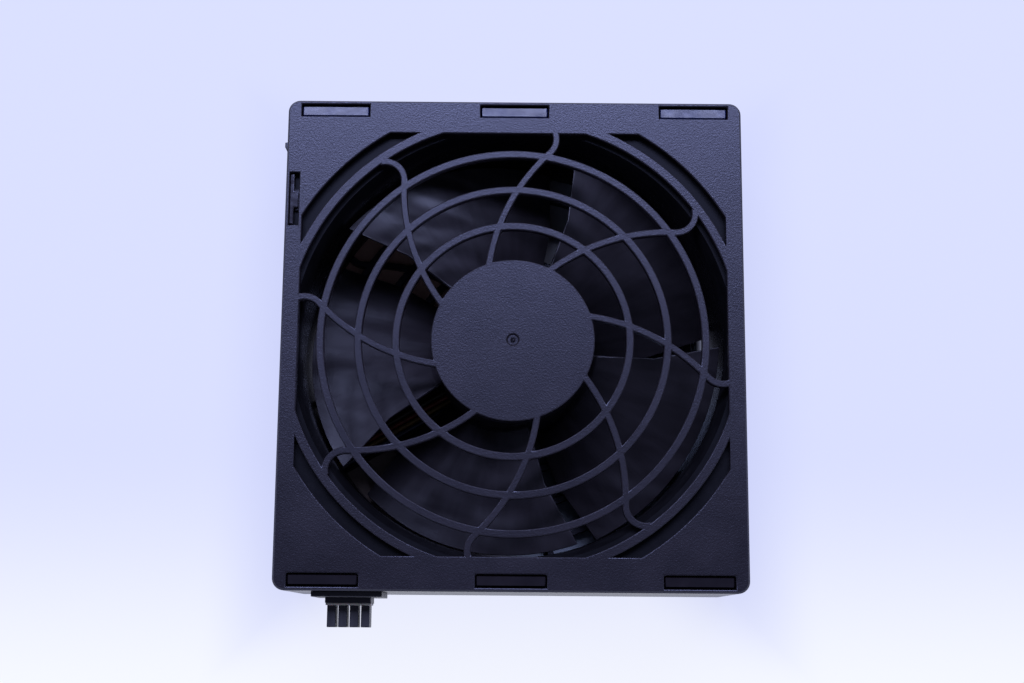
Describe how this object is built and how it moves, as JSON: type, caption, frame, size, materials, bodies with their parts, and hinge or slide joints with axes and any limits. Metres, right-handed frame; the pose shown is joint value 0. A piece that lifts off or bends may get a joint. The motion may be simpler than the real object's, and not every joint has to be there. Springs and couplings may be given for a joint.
{
  "type": "server fan module",
  "caption": "Hot-swap axial fan module: a square fan between two snap-together grille shells, with a sprung side latch and a blind-mate plug on its lower wall.",
  "frame": {"origin": "on the fan's axis, at the outer face of the rear (outlet) grille", "axes": "+Z along the fan's axis towards the inlet grille; +Y away from the plug; +X to the right seen from the inlet side"},
  "size_m": [0.1264, 0.1427, 0.043],
  "materials": {
    "case_plastic": "spark-eroded black ABS",
    "frame_plastic": "satin black glass-filled PBT",
    "impeller_plastic": "satin black PBT with flow lines",
    "plug_plastic": "smooth black nylon",
    "natural_nylon": "natural white nylon",
    "contact_metal": "tinned phosphor bronze",
    "steel": "ground steel",
    "yoke_steel": "zinc-plated pressed steel",
    "boss_brass": "turned brass",
    "magnet": "bonded ferrite",
    "lamination": "stacked silicon steel",
    "bobbin_nylon": "natural nylon",
    "copper_wire": "enamelled copper",
    "board": "green solder mask",
    "chip": "moulded epoxy",
    "capacitor_can": "drawn aluminium",
    "lead_black": "PVC insulation",
    "lead_red": "PVC insulation",
    "lead_yellow": "PVC insulation",
    "lead_blue": "PVC insulation"
  },
  "bodies": {
    "module": {"front_shell": "case_plastic", "rear_shell": "case_plastic", "fan_frame": "frame_plastic", "lower_bearing_outer_ring": "steel", "upper_bearing_outer_ring": "steel", "stator_core": "lamination", "lower_bobbin": "bobbin_nylon", "upper_bobbin": "bobbin_nylon", "stator_windings": "copper_wire", "circuit_board": "board", "driver_chip": "chip", "hall_sensor": "chip", "board_capacitor": "capacitor_can", "connector_housing": "plug_plastic", "terminal_retainer": "natural_nylon", "connector_terminals": "contact_metal", "lead_black": "lead_black", "lead_red": "lead_red", "lead_yellow": "lead_yellow", "lead_blue": "lead_blue"},
    "rotor": {"impeller": "impeller_plastic", "rotor_yoke": "yoke_steel", "magnet_ring": "magnet", "shaft_boss": "boss_brass", "preload_washer": "steel", "shaft": "steel", "retaining_clip": "steel", "lower_bearing_inner_ring": "steel", "upper_bearing_inner_ring": "steel"},
    "latch": {"side_latch": "case_plastic"}
  },
  "joints": [
    {"name": "impeller_spin", "type": "hinge", "parent": "module", "child": "rotor", "pos_m": [0, 0, 0.02], "axis": [0, 0, 1], "continuous": true},
    {"name": "latch_press", "type": "hinge", "parent": "module", "child": "latch", "pos_m": [-0.0615, 0.0536, 0.0036], "axis": [0, 1, 0], "range_deg": [0, 4], "stiffness_Nm_per_rad": 2}
  ]
}
